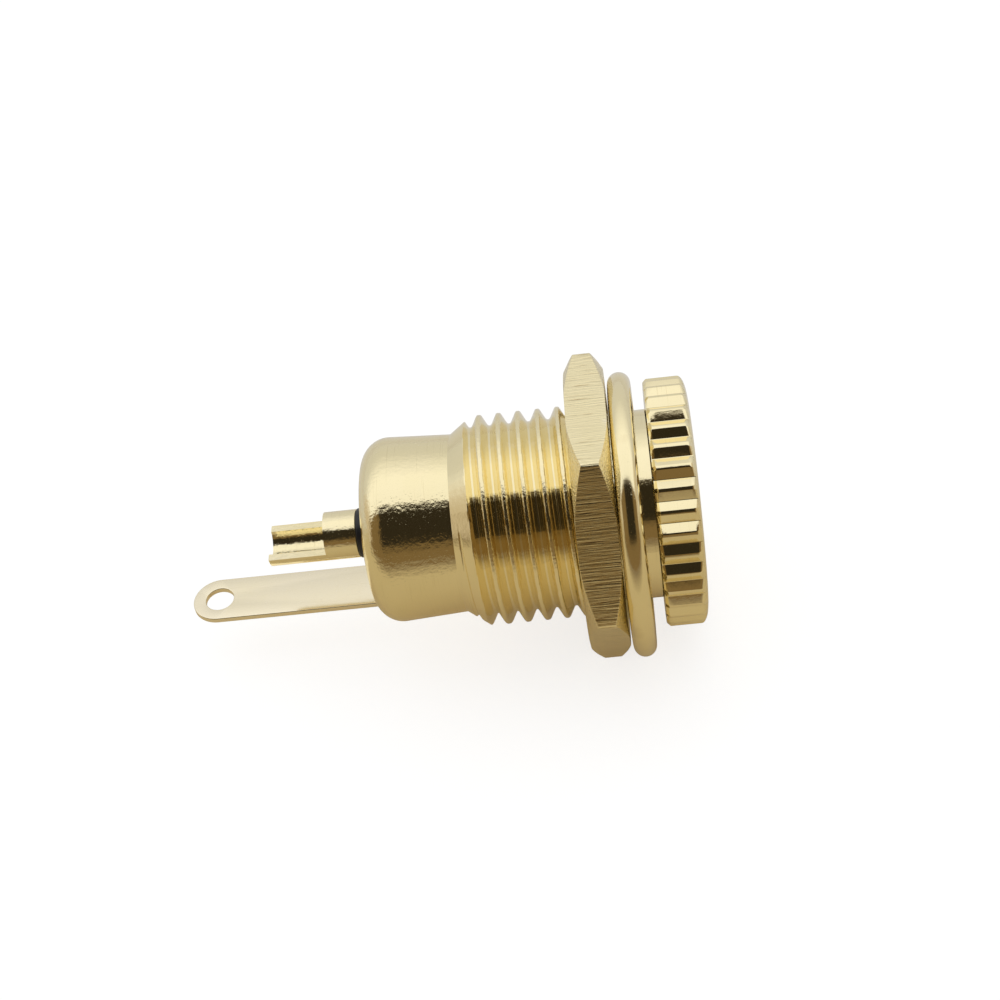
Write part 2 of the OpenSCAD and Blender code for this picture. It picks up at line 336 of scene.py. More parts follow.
# Zones of a turned piece: its plain rear end, its thread, and the crests outside a radius
def buildTurnedZones():
    group, start, end = makeGroup(
        "turnedZones",
        [("Rear End", "NodeSocketFloat", -0.01), ("Crest Radius", "NodeSocketFloat", 0.0053),
         ("Neck Start", "NodeSocketFloat", 0.0)],
        [("Rear", "NodeSocketFloat"), ("Crest", "NodeSocketFloat"), ("Thread", "NodeSocketFloat")])
    parts = addNode(group, "ShaderNodeSeparateXYZ")
    group.links.new(addNode(group, "ShaderNodeTexCoord").outputs["Object"], parts.inputs[0])
    rearLimit = mathNode(group, "SUBTRACT", start.outputs["Rear End"], grainShape["rearBlend"])
    rear = mapRange(group, parts.outputs[0], start.outputs["Rear End"], rearLimit)
    group.links.new(rear, end.inputs["Rear"])
    sideways = mathNode(group, "POWER", parts.outputs[1], 2.0)
    upward = mathNode(group, "POWER", parts.outputs[2], 2.0)
    radius = mathNode(group, "SQRT", mathNode(group, "ADD", sideways, upward))
    crestFoot = mathNode(group, "SUBTRACT", start.outputs["Crest Radius"], grainShape["crestBlend"])
    outside = mapRange(group, radius, crestFoot, start.outputs["Crest Radius"])
    behind = mathNode(group, "LESS_THAN", parts.outputs[0], start.outputs["Neck Start"])
    group.links.new(mathNode(group, "MULTIPLY", outside, behind), end.inputs["Crest"])
    group.links.new(mathNode(group, "SUBTRACT", behind, rear), end.inputs["Thread"])
    return group


plateGrain = buildPlateGrain()
turnedZones = buildTurnedZones()
toolLines = buildToolLines()
edgeWear = buildEdgeWear()


def placeGroup(tree, group, **values):
    node = tree.nodes.new("ShaderNodeGroup")
    node.node_tree = group
    for key, value in values.items():
        node.inputs[key.replace("_", " ")].default_value = value
    return node


goldTones = {
    "bright": (0.94, 0.83, 0.53, 1),
    "deep": (0.90, 0.79, 0.47, 1),
    # dark brown painted into the grooves of the tool marks: painted shade
    "paintedGrooveShade": (0.36, 0.2, 0.06, 1),
    "pale": (0.93, 0.84, 0.64, 1),
    "rubbed": (1.0, 0.91, 0.70, 1),
}


def buildGold(name, tone, deepTone, look):
    material = bpy.data.materials.new(name)
    material.use_nodes = True
    tree = material.node_tree
    shader = tree.nodes["Principled BSDF"]
    shader.inputs["Metallic"].default_value = 1.0
    grain = placeGroup(tree, plateGrain, Ripple_Size=look["rippleSize"], Ripple=look["ripple"],
                       Pit_Size=look["pitSize"], Pits=look["pits"])
    lines = placeGroup(tree, toolLines, Along_X=look["along"], Across=look["across"],
                       Sharpness=look["sharpness"])
    wear = placeGroup(tree, edgeWear, Low=look["wearLow"], High=look["wearHigh"],
                      Break_Up=grainShape["breakUp"])
    stain = mapRange(tree, grain.outputs["Stain"], *grainShape["goldStain"])
    base = mixColour(tree, stain, tone, tuple(t + (d - t) * look["stain"] for t, d in zip(tone, deepTone)))
    # the grooves of the tool lines are painted dark brown: painted shade in the marks, on top of their
    # bump
    lineShading = mathNode(tree, "MULTIPLY", lines.outputs["Line Shade"], look["lineShadeTint"])
    base = mixColour(tree, lineShading, base, goldTones["paintedGrooveShade"])
    rubbed = mathNode(tree, "MULTIPLY", wear.outputs["Mask"], look["wearTint"])
    base = mixColour(tree, rubbed, base, goldTones["rubbed"])
    tree.links.new(base, shader.inputs["Base Color"])
    rough = mathNode(tree, "MULTIPLY_ADD", grain.outputs["Stain"], look["roughSpread"], look["rough"])
    rough = mathNode(tree, "MULTIPLY_ADD", grain.outputs["Pit Mask"], grainShape["pitRough"], rough)
    rough = mathNode(tree, "MULTIPLY_ADD", wear.outputs["Mask"], grainShape["wearRough"], rough)
    tree.links.new(rough, shader.inputs["Roughness"])
    ripple = mathNode(tree, "MULTIPLY", grain.outputs["Height"], look["grainDepth"])
    if "rearEnd" in look:  # the rear barrel is grainy, the thread's crests are torn, the rest is clean
        zones = placeGroup(tree, turnedZones, Rear_End=look["rearEnd"] * mm,
                           Crest_Radius=look["crestRadius"] * mm, Neck_Start=look["neckStart"] * mm)
        share = mapRange(tree, zones.outputs["Rear"], 0, 1, look["cleanShare"], 1.0)
        ripple = mathNode(tree, "MULTIPLY", ripple, share)
        torn = placeGroup(tree, plateGrain, Ripple_Size=look["tornSize"], Ripple=1.0,
                          Pit_Size=look["tornPitSize"], Pits=look["tornPits"])
        torn = mathNode(tree, "MULTIPLY", torn.outputs["Height"], zones.outputs["Crest"])
        ripple = mathNode(tree, "MULTIPLY_ADD", torn, look["tornDepth"], ripple)
        rough = mathNode(tree, "MULTIPLY_ADD", zones.outputs["Rear"], look["rearRough"], rough)
        tree.links.new(rough, shader.inputs["Roughness"])
        depth = mapRange(tree, zones.outputs["Thread"], 0, 1, look["lineDepth"], look["threadLines"])
        height = mathNode(tree, "MULTIPLY_ADD", lines.outputs["Height"], depth, ripple)
    elif "feedDepth" in look:  # faint feed marks across the milled strokes
        feed = placeGroup(tree, toolLines, Along_X=look["feedAlong"], Across=look["feedAcross"],
                          Sharpness=look["feedSharpness"])
        ripple = mathNode(tree, "MULTIPLY_ADD", feed.outputs["Height"], look["feedDepth"], ripple)
    if "rearEnd" not in look:
        height = mathNode(tree, "MULTIPLY_ADD", lines.outputs["Height"], look["lineDepth"], ripple)
    bump = addNode(tree, "ShaderNodeBump", Strength=1.0, Distance=0.001 * mm)
    tree.links.new(height, bump.inputs["Height"])
    tree.links.new(bump.outputs[0], shader.inputs["Normal"])
    return material


# Sizes are in millimetres, depths in thousandths of one; along and across count marks a millimetre
turnedLook = {
    "rippleSize": 0.22, "ripple": 1.0, "pitSize": 0.11, "pits": 0.1, "grainDepth": 17,
    "along": 14, "across": 0.35, "sharpness": 0.5, "lineDepth": 0.7, "lineShadeTint": 0.1,
    "rearEnd": -10.0, "crestRadius": 5.28, "neckStart": -1.9,   # where the zones start
    "cleanShare": 0.28, "threadLines": 0.1, "rearRough": 0.03,
    "tornSize": 0.15, "tornDepth": 15, "tornPitSize": 0.05, "tornPits": 0.2,
    "stain": 0.5, "rough": 0.04, "roughSpread": 0.07,
    "wearLow": 0.53, "wearHigh": 0.62, "wearTint": 0.5,
}
milledLook = {
    "rippleSize": 0.5, "ripple": 0.5, "pitSize": 0.1, "pits": 0.4, "grainDepth": 3,
    "along": 0.5, "across": 11, "sharpness": 0.5, "lineDepth": 38, "lineShadeTint": 0.9,
    "feedAlong": 5, "feedAcross": 0.25, "feedDepth": 9, "feedSharpness": 0.4,
    "stain": 0.5, "rough": 0.13, "roughSpread": 0.1,
    "wearLow": 0.52, "wearHigh": 0.6, "wearTint": 0.6,
}
polishedLook = {
    "rippleSize": 0.8, "ripple": 1.0, "pitSize": 0.15, "pits": 0.3, "grainDepth": 7,
    "along": 0.6, "across": 0.6, "sharpness": 0.4, "lineDepth": 2, "lineShadeTint": 0.1,
    "stain": 0.4, "rough": 0.08, "roughSpread": 0.06,
    "wearLow": 0.55, "wearHigh": 0.7, "wearTint": 0.2,
}
springLook = {
    "rippleSize": 0.5, "ripple": 1.0, "pitSize": 0.1, "pits": 0.4, "grainDepth": 8,
    "along": 0.6, "across": 8, "sharpness": 0.5, "lineDepth": 3, "lineShadeTint": 0.3,
    "stain": 0.6, "rough": 0.16, "roughSpread": 0.1,
    "wearLow": 0.53, "wearHigh": 0.62, "wearTint": 0.4,
}
stampedLook = {
    "rippleSize": 1.1, "ripple": 1.0, "pitSize": 0.14, "pits": 0.15, "grainDepth": 4,
    "along": 0.4, "across": 12, "sharpness": 0.5, "lineDepth": 0.2, "lineShadeTint": 0.05,
    "stain": 0.35, "rough": 0.12, "roughSpread": 0.08,
    "wearLow": 0.52, "wearHigh": 0.58, "wearTint": 0.7,
}

goldTurned = buildGold("goldTurned", goldTones["bright"], goldTones["deep"], turnedLook)
goldMilled = buildGold("goldMilled", goldTones["bright"], goldTones["deep"], milledLook)
goldPolished = buildGold("goldPolished", goldTones["bright"], goldTones["deep"], polishedLook)
goldSpring = buildGold("goldSpring", goldTones["bright"], goldTones["deep"], springLook)
goldStamped = buildGold("goldStamped", goldTones["pale"], goldTones["bright"], stampedLook)


mouldingLook = {
    "rippleSize": 0.2, "pitSize": 0.06, "pits": 0.5,
    "dark": (0.012, 0.012, 0.013, 1),
    "light": (0.03, 0.03, 0.032, 1),
    "rough": 0.3, "roughSpread": 0.2,
    "depth": 0.004,  # mm
}


def buildBlackMoulding():
    look = mouldingLook
    material = bpy.data.materials.new("blackMoulding")
    material.use_nodes = True
    tree = material.node_tree
    shader = tree.nodes["Principled BSDF"]
    grain = placeGroup(tree, plateGrain, Ripple_Size=look["rippleSize"], Ripple=1.0,
                       Pit_Size=look["pitSize"], Pits=look["pits"])
    shade = mapRange(tree, grain.outputs["Stain"], *grainShape["mouldStain"])
    tree.links.new(mixColour(tree, shade, look["dark"], look["light"]), shader.inputs["Base Color"])
    rough = mathNode(tree, "MULTIPLY_ADD", grain.outputs["Stain"], look["roughSpread"], look["rough"])
    tree.links.new(rough, shader.inputs["Roughness"])
    bump = addNode(tree, "ShaderNodeBump", Strength=1.0, Distance=look["depth"] * mm)
    tree.links.new(grain.outputs["Height"], bump.inputs["Height"])
    tree.links.new(bump.outputs[0], shader.inputs["Normal"])
    return material


blackMoulding = buildBlackMoulding()
print("materials built")


shellLow, shellHigh = nodeBox("shell")

thread = {
    "crest": 5.39,
    "depth": 0.59,
    "pitch": 1.0,
    "crestX": -8.335,    # where a crest passes over the top of the bush
    "crestFlat": 0.1,
    "rootFlat": 0.04,
    "crestRound": 0.22,  # shares of a flank taken by the round crest and root
    "rootRound": 0.3,
    "startX": -9.995,    # foot of the cone behind the thread
    "startRadius": 4.56,
    "startSlope": 0.72,
    "neckX": -1.96,
    "neckRadius": 4.8,
}


def threadRadius(x, angle):
    turns = (x - thread["crestX"]) / thread["pitch"] - angle / 360
    away = abs(turns - round(turns)) * thread["pitch"]
    low = thread["pitch"] / 2 - thread["rootFlat"] / 2
    rise = (low - away) / (low - thread["crestFlat"] / 2)
    rise = min(1, max(0, rise))
    low, high = thread["rootRound"], thread["crestRound"]
    if rise < low:
        lift = rise * rise / (2 * low)
    elif rise < 1 - high:
        lift = rise - low / 2
    else:
        lift = 1 - low / 2 - high / 2 - (1 - rise) ** 2 / (2 * high)
    return thread["crest"] - thread["depth"] * (1 - lift / (1 - low / 2 - high / 2))


shellSize = {
    "teeth": 36,
    "toothColumns": (0, 0.6, 0.92, 1.04, 4.85, 5.15, 8.96, 9.08, 9.4),  # degrees into one tooth
    "toothDepth": 0.265,
    "toothLand": 0.19,     # shares of a half tooth taken by the crest's land and the root
    "toothRoot": 0.03,
    "landCrown": 0.012,
    "backChamfer": 0.18,
    "bevelLength": 0.4,
    "bevelDrop": 1.0,
    "edgeRadius": 1.4,
    "barrelRadius": 4.75,
    "mouthRadius": 3.0,
    "mouthChamfer": 0.25,
    "mouthLip": 1.25,
    "chamberRadius": 3.4,
    "seatRadius": 3.9,
    "seatLength": 1.22,
    "lip": 0.22,
    "slotWidth": 3.05,
    "slotTop": 2.68,
    "threadStep": 1 / 24,
    "threadOverlap": 0.3,  # rings of the thread that run on into the neck
    "coneLead": 0.04,      # last ring of the barrel, just behind the cone's foot
    "coneLift": 0.002,
    "neckRings": (-1.2, -0.7, -0.4, -0.2, -0.08, -0.05),  # keep the neck's shading straight
    "neckFillet": 0.05,
    "backRings": (5.4, 5.94),  # radii on the head's back face
    "lipChamfer": 0.05,
    "slotReach": 6,
}


def toothRadius(angle, crest):
    step = 360 / shellSize["teeth"]
    away = abs((angle / step) - round(angle / step)) * 2
    land, root = shellSize["toothLand"], shellSize["toothRoot"]
    if away < land:
        return crest - shellSize["landCrown"] * (away / land) ** 2
    drop = min(1, (away - land) / (1 - land - root))
    return crest - shellSize["landCrown"] - shellSize["toothDepth"] * drop


def buildShell():
    size = shellSize
    rear, front = shellLow[0], shellHigh[0]
    crest = shellHigh[1]
    step = 360 / size["teeth"]
    columns = []
    for tooth in range(size["teeth"]):
        columns += [tooth * step + offset * step / 10 for offset in size["toothColumns"]]
    rings = []

    def plain(x, radius):
        rings.append([around(a, radius, x) for a in columns])

    def knurled(x, limit):
        rings.append([around(a, min(toothRadius(a, crest), limit), x) for a in columns])

    arcRadius = size["barrelRadius"] - size["edgeRadius"]
    for x, r in arcProfile(rear + size["edgeRadius"], arcRadius, size["edgeRadius"], -90, 0, 18):
        plain(x, r)
    coneFoot = (thread["startX"] - size["coneLead"], thread["startRadius"] + size["coneLift"])
    for x, r in lineProfile((rear + size["edgeRadius"], size["barrelRadius"]), coneFoot, 8):
        plain(x, r)
    x = thread["startX"]
    while x < thread["neckX"] + size["threadOverlap"]:
        rising = thread["startRadius"] + max(0, x - thread["startX"]) * thread["startSlope"]
        falling = thread["neckRadius"] + max(0, thread["neckX"] - x)
        rings.append([around(a, min(threadRadius(x, a), rising, falling), x) for a in columns])
        x += size["threadStep"]
    for x in size["neckRings"]:
        plain(x, thread["neckRadius"])
    for radius in (thread["neckRadius"] + size["neckFillet"], *size["backRings"]):
        plain(0, radius)
    for i in range(7):
        x = size["backChamfer"] * i / 6
        knurled(x, crest - size["backChamfer"] + x)
    bevelX = front - size["bevelLength"]
    for i in range(1, 7):
        knurled(size["backChamfer"] + (bevelX - size["backChamfer"]) * i / 6, crest)
    for i in range(1, 13):
        t = math.radians(90 * i / 12)
        knurled(bevelX + size["bevelLength"] * math.sin(t), crest - size["bevelDrop"] * (1 - math.cos(t)))
    mouth, chamfer = size["mouthRadius"], size["mouthChamfer"]
    lipEnd = front - size["mouthLip"]
    for x, r in (lineProfile((front, crest - size["bevelDrop"]), (front, mouth + chamfer), 5)
                 + lineProfile((front, mouth + chamfer), (front - chamfer, mouth), 2)
                 + lineProfile((front - chamfer, mouth), (lipEnd, mouth), 2)
                 + lineProfile((lipEnd, mouth), (lipEnd, size["chamberRadius"]), 1)):
        plain(x, r)
    seatX = rear + size["seatLength"]
    lipX = rear + size["lip"]
    lipRadius = arcRadius - size["lip"]
    soft = size["lipChamfer"]
    for x, r in ((seatX, size["chamberRadius"]), (seatX, size["seatRadius"]), (lipX, size["seatRadius"]),
                 (lipX, lipRadius), (rear + soft, lipRadius), (rear, lipRadius + soft)):
        plain(x, r)
    shell = addMesh("shellBody", *gridRing(rings))
    smoothShade(shell)
    half = size["slotWidth"] / 2
    slotLow = (rear - overshoot, -half, -size["slotReach"])
    carve(shell, [cutBox("slot", slotLow, (seatX, half, -size["slotTop"]))])
    smoothShade(shell)
    finishPiece(shell, "shell", "jack", goldTurned)


nutSize = {
    "facetColumns": 18,
    "cornerRound": 0.25,
    "cornerSteps": 5,
    "chamferStart": 0.08,  # how far outside the flats the chamfers start
    "chamferAngle": 30,
    "edgeRound": 0.035,
    "countersink": 0.3,
    "faceRing": 0.4,       # ring of points this far outside the countersink
    "threadGap": 0.05,
    "threadStep": 1 / 16,
}


def buildNut():
    size = nutSize
    low, high = nodeBox("panel_nut")
    flat = high[2]
    back, front = low[0], high[0]
    slope = math.tan(math.radians(size["chamferAngle"]))
    footRadius = flat + size["chamferStart"]
    boreRadius = thread["crest"] + size["threadGap"]
    openRadius = boreRadius + size["countersink"]
    steps = round((front - back) / size["threadStep"])
    bend = size["cornerRound"]
    bendCentre = (flat - bend) / math.cos(math.radians(30))
    limit = math.degrees(math.atan((flat - bend) * math.tan(math.radians(30)) / flat))
    spots = []  # (angle from a facet's middle, radius) over one facet and the corner after it
    for i in range(size["facetColumns"] + 1):
        offset = limit * (2 * i / size["facetColumns"] - 1)
        spots.append((offset, flat / math.cos(math.radians(offset))))
    for i in range(1, size["cornerSteps"]):
        t = math.radians(-30 + 60 * i / size["cornerSteps"])
        out, side = bendCentre + bend * math.cos(t), bend * math.sin(t)
        spots.append((30 + math.degrees(math.atan2(side, out)), math.hypot(out, side)))
    columns = []
    for facet in range(6):
        for offset, corner in spots:
            angle = facet * 60 + offset
            foot = min(footRadius, corner)
            depth = (corner - foot) * slope
            soft = size["edgeRound"]
            slant = min(soft, depth * 0.4)
            # one face's edge: the flat face, the chamfer's soft foot, its middle, and its soft corner
            half = [(0, openRadius + size["faceRing"]), (0, foot - soft),
                    (slant * 0.25 + soft * 0.08, foot - soft * 0.08 + slant * 0.4),
                    (depth * 0.5 + soft * 0.2, (foot + corner) / 2 - soft * 0.1),
                    (depth - slant * 0.2 + soft * 0.3, corner - slant * 0.3 - soft * 0.06),
                    (depth + soft, corner)]
            outside = [(back + x, r) for x, r in half]
            flank = front - back - 2 * depth - 2 * soft
            for i in range(1, 6):
                outside.append((back + depth + soft + flank * i / 6, corner))
            outside += [(front - x, r) for x, r in reversed(half)]
            inside = []
            for i in range(steps + 1):
                x = front + (back - front) * i / steps
                ends = openRadius - min(x - back, front - x)
                inside.append((x, max(threadRadius(x, angle) + size["threadGap"], ends)))
            columns.append([around(angle, r, x) for x, r in outside + inside])
    nut = addMesh("panelNut", *gridRing(columns))
    smoothShade(nut, 20)
    finishPiece(nut, "panel_nut", "nut", goldMilled)


washerSize = {
    "columns": 256,
    "boreRadius": 6.0,
    "boreEdge": 0.12,
    "thickness": 1.17,
    "tilt": -0.69,       # it leans towards the nut in front
}


def buildWasher():
    low, high = nodeBox("washer")
    centre = ((low[1] + high[1]) / 2, (low[2] + high[2]) / 2)
    half = washerSize["thickness"] / 2
    rim = (high[2] - low[2]) / 2 - half
    edge = washerSize["boreEdge"]
    bore = washerSize["boreRadius"]
    profile = arcProfile(0, rim, half, -90, 90, 28)
    profile += arcProfile(half - edge, bore + edge, edge, 90, 180, 5)
    profile += arcProfile(edge - half, bore + edge, edge, 180, 270, 5)
    washer = addMesh("washerRing", *gridRing(turnedRings(profile, evenColumns(washerSize["columns"]))))
    lean = Matrix.Rotation(math.radians(washerSize["tilt"]), 4, Vector((0, 1, 1)))
    middle = Vector(((high[0] + low[0]) / 2, *centre))
    washer.data.transform(Matrix.Translation(middle * mm) @ lean)
    smoothShade(washer)
    finishPiece(washer, "washer", "washer", goldPolished)


sleeveSize = {
    "wall": 0.35,
    "waist": 2.73,
    "fingers": 6.8,
    "toWaist": 2.4,
    "slot": 0.5,
    "gap": 0.03,         # to the chamber's wall
    "mouthDip": 0.3,     # share of the bow that is left at the open end
    "columns": 96,
    "slotReach": 5,
}


def buildSleeve():
    size = sleeveSize
    low, high = nodeBox("sleeve_contact")
    outer = shellSize["chamberRadius"] - size["gap"]
    inner = outer - size["wall"]
    tip, rear = high[0], low[0]
    waistX, rootX = tip - size["toWaist"], tip - size["fingers"]
    bow = []
    for i in range(1, 12):  # smooth sweep from the root in to the waist and out to the tip
        t = i / 11
        x = rootX + (tip - rootX) * t
        if x <= waistX:
            dip = math.sin(math.pi * min(1, t * (tip - rootX) / (waistX - rootX) / 2))
        else:
            fade = math.cos(math.pi / 2 * (x - waistX) / (tip - waistX))
            dip = fade * (1 - size["mouthDip"]) + size["mouthDip"]
        bow.append((x, inner - (inner - size["waist"]) * dip))
    outside = [(rear, outer), (rootX, outer)] + [(x, r + size["wall"]) for x, r in bow]
    inside = [(x, r) for x, r in reversed(bow)] + [(rootX, inner), (rear, inner)]
    rings = turnedRings(outside + inside, evenColumns(size["columns"]))
    sleeve = addMesh("sleeveContact", *gridRing(rings))
    smoothShade(sleeve)
    half = size["slot"] / 2
    for turn in (45, 135):
        reach = size["slotReach"]
        cutter = cutBox("slot", (rootX - size["slot"], -half, -reach), (tip + overshoot, half, reach))
        cutter.data.transform(Matrix.Rotation(math.radians(turn), 4, "X"))
        carve(sleeve, [cutter])
    smoothShade(sleeve)
    finishPiece(sleeve, "sleeve_contact", "jack", goldSpring)


insulatorSize = {
    "hub": 1.28,
    "hubEdge": 0.08,
    "hole": 0.88,
    "face": 3.1,
    "flange": 3.87,
    "flangeLength": 0.7,
    "body": 2.94,
    "endChamfer": 0.1,
    "hubFillet": 0.05,
    "faceInset": 0.1,    # the face sits this far inside the shell's rear edge
    "lugGap": 0.2,       # from the flat to the lug's top
    "columns": 96,
    "flatReach": 5,
}


def buildInsulator():
    size = insulatorSize
    low, high = nodeBox("insulator")
    rear = shellLow[0]
    lipX = rear + shellSize["lip"]
    flangeX = lipX + size["flangeLength"]
    edge = size["hubEdge"]
    profile = arcProfile(low[0] + edge, size["hub"] - edge, edge, -90, 0, 4)
    faceX, fillet, chamfer = rear + size["faceInset"], size["hubFillet"], size["endChamfer"]
    profile += [(faceX - fillet, size["hub"]), (faceX, size["hub"] + fillet), (faceX, size["face"]),
                (lipX, size["face"]), (lipX, size["flange"]), (flangeX, size["flange"]),
                (flangeX, size["body"]), (high[0] - chamfer, size["body"]),
                (high[0], size["body"] - chamfer), (high[0], size["hole"]), (low[0], size["hole"])]
    rings = turnedRings(profile, evenColumns(size["columns"]))
    insulator = addMesh("insulatorBlock", *gridRing(rings))
    smoothShade(insulator)
    half = shellSize["slotWidth"] / 2
    flatLow = (rear - overshoot, -half, -size["flatReach"])
    carve(insulator, [cutBox("flat", flatLow, (flangeX, half, lugSize["top"] + size["lugGap"]))])
    smoothShade(insulator)
    finishPiece(insulator, "insulator", "jack", blackMoulding)


pinSize = {
    "radius": 1.05,
    "tipRound": 0.5,
    "shank": 0.85,
    "shankEnd": -7.62,
    "cupRadius": 1.25,
    "cupBore": 0.82,
    "cupLength": 3.0,
    "collarLength": 1.7,
    "cutDrop": 0.08,
    "cutWidth": 2,       # half width of the box that opens the cup
    "edge": 0.05,
    "core": 0.01,        # radius at which the turned profile closes on the axis
    "boreCore": 0.02,
    "columns": 96,
    "boreColumns": 64,
}


def buildPin():
    size = pinSize
    low, high = nodeBox("centre_pin")
    collarX = low[0] + size["cupLength"] + size["collarLength"]
    edge, cup, pin = size["edge"], size["cupRadius"], size["radius"]
    profile = arcProfile(low[0] + edge, cup - edge, edge, -90, 0, 3)
    profile += arcProfile(collarX - edge, cup - edge, edge, 0, 90, 3)
    profile += [(collarX, size["shank"]), (size["shankEnd"], size["shank"]), (size["shankEnd"], pin)]
    profile += arcProfile(high[0] - size["tipRound"], pin - size["tipRound"], size["tipRound"], 0, 90, 8)
    profile += [(high[0], size["core"]), (low[0], size["core"])]
    centrePin = addMesh("centrePin", *gridRing(turnedRings(profile, evenColumns(size["columns"]))))
    smoothShade(centrePin)
    cupEnd = low[0] + size["cupLength"]
    start, wide = low[0] - overshoot, size["cutWidth"]
    cut = cutBox("cut", (start, -wide, -size["cutDrop"]), (cupEnd, wide, wide))
    core, wall = size["boreCore"], size["cupBore"]
    hollow = [(start, core), (start, wall), (cupEnd, wall), (cupEnd, core)]
    bore = addMesh("bore", *gridRing(turnedRings(hollow, evenColumns(size["boreColumns"]))))
    carve(centrePin, [cut, bore])
    smoothShade(centrePin)
    finishPiece(centrePin, "centre_pin", "jack", goldTurned)


lugSize = {
    "thickness": 0.3,
    "width": 2.85,
    "eye": 0.75,
    "bend": 0.15,
    "ring": 3.87,
    "ringHole": 2.97,
    "edgeRound": 0.04,
    "dieRoll": 0.05,         # rolled edge on the punched face
    "rimAngle": 1.2,         # radians, edges sharper than this are rims
    "weld": 0.001,
    "neckLeast": 0.02,       # a shorter neck between bend and ring is left out
}
lugSize["top"] = nodeBox("solder_lug")[0][2] + lugSize["thickness"]  # upper face of the tab


def lugFold(length, across, height):  # bends the flat blank: length runs from the tab's end to the ring
    low, high = nodeBox("solder_lug")
    thickness, bend = lugSize["thickness"], lugSize["bend"]
    startX = high[0] - thickness - bend
    middle = bend + thickness / 2
    flatLength = startX - low[0]
    arcLength = middle * math.pi / 2
    floor = lugSize["top"] - thickness
    if length <= flatLength:
        return (low[0] + length, across, floor + height)
    if length <= flatLength + arcLength:
        t = (length - flatLength) / middle
        radius = bend + thickness - height
        return (startX + radius * math.sin(t), across, lugSize["top"] + bend - radius * math.cos(t))
    return (high[0] - height, across, lugSize["top"] + bend + length - flatLength - arcLength)


def outlinePoints(centre, radius, start, end, steps):
    angles = [math.radians(start + (end - start) * i / steps) for i in range(steps + 1)]
    return [(centre[0] + radius * math.cos(t), centre[1] + radius * math.sin(t)) for t in angles]


def fillOutline(bm, outline, hole):
    loops = []
    for points in (outline, hole):
        verts = [bm.verts.new((x, y, 0)) for x, y in points]
        loops += [bm.edges.new((verts[i], verts[(i + 1) % len(verts)])) for i in range(len(verts))]
    bmesh.ops.triangle_fill(bm, use_beauty=True, use_dissolve=False, edges=loops)


def buildLug():
    size = lugSize
    low, high = nodeBox("solder_lug")
    half, thickness, bend = size["width"] / 2, size["thickness"], size["bend"]
    flatLength = high[0] - thickness - bend - low[0]
    arcLength = (bend + thickness / 2) * math.pi / 2
    bendEnd = flatLength + arcLength
    axis = bendEnd - (size["top"] + bend)       # the barrel's axis on the flat blank
    reach = math.sqrt(size["ring"] ** 2 - half ** 2)
    bm = bmesh.new()
    tab = outlinePoints((half, 0), half, 90, 270, 40) + [(flatLength, -half), (flatLength, half)]
    fillOutline(bm, tab, outlinePoints((half, 0), size["eye"], 0, 360, 48)[:-1])
    steps = 6
    for i in range(steps):
        a, b = flatLength + arcLength * i / steps, flatLength + arcLength * (i + 1) / steps
        bm.faces.new([bm.verts.new(p) for p in ((a, -half, 0), (b, -half, 0), (b, half, 0), (a, half, 0))])
    joinAngle = math.degrees(math.atan2(half, -reach))
    ring = [(bendEnd, half), (bendEnd, -half)]
    hasNeck = axis - reach > bendEnd + size["neckLeast"]
    if hasNeck:
        ring += [(axis - reach, -half)]
    ring += outlinePoints((axis, 0), size["ring"], -joinAngle, joinAngle, 72)[1:-1]
    if hasNeck:
        ring += [(axis - reach, half)]
    fillOutline(bm, ring, outlinePoints((axis, 0), size["ringHole"], 0, 360, 72)[:-1])
    bmesh.ops.remove_doubles(bm, verts=bm.verts, dist=size["weld"])
    bmesh.ops.recalc_face_normals(bm, faces=bm.faces)
    shape = bmesh.ops.extrude_face_region(bm, geom=bm.faces[:])
    for item in shape["geom"]:
        if isinstance(item, bmesh.types.BMVert):
            item.co.z = thickness
    bmesh.ops.recalc_face_normals(bm, faces=bm.faces)
    rims = [e for e in bm.edges if len(e.link_faces) == 2 and e.calc_face_angle() > size["rimAngle"]]
    rolled = [e for e in rims if all(v.co.z > thickness / 2 for v in e.verts)]
    rims = [e for e in rims if all(v.co.z < thickness / 2 for v in e.verts)]
    bmesh.ops.bevel(bm, geom=rolled, offset=size["dieRoll"], segments=4, profile=0.5,
                    affect="EDGES", clamp_overlap=True)
    rims = [e for e in rims if e.is_valid]
    bmesh.ops.bevel(bm, geom=rims, offset=size["edgeRound"], segments=2, profile=0.5,
                    affect="EDGES", clamp_overlap=True)
    for vert in bm.verts:
        vert.co = Vector(lugFold(*vert.co)) * mm
    mesh = bpy.data.meshes.new("solderLug")
    bm.to_mesh(mesh)
    bm.free()
    lug = bpy.data.objects.new("solderLug", mesh)
    bpy.context.scene.collection.objects.link(lug)
    smoothShade(lug, 35)
    finishPiece(lug, "solder_lug", "jack", goldStamped)


for build in (buildShell, buildNut, buildWasher, buildSleeve, buildInsulator, buildPin, buildLug):
    build()
print("pieces built")


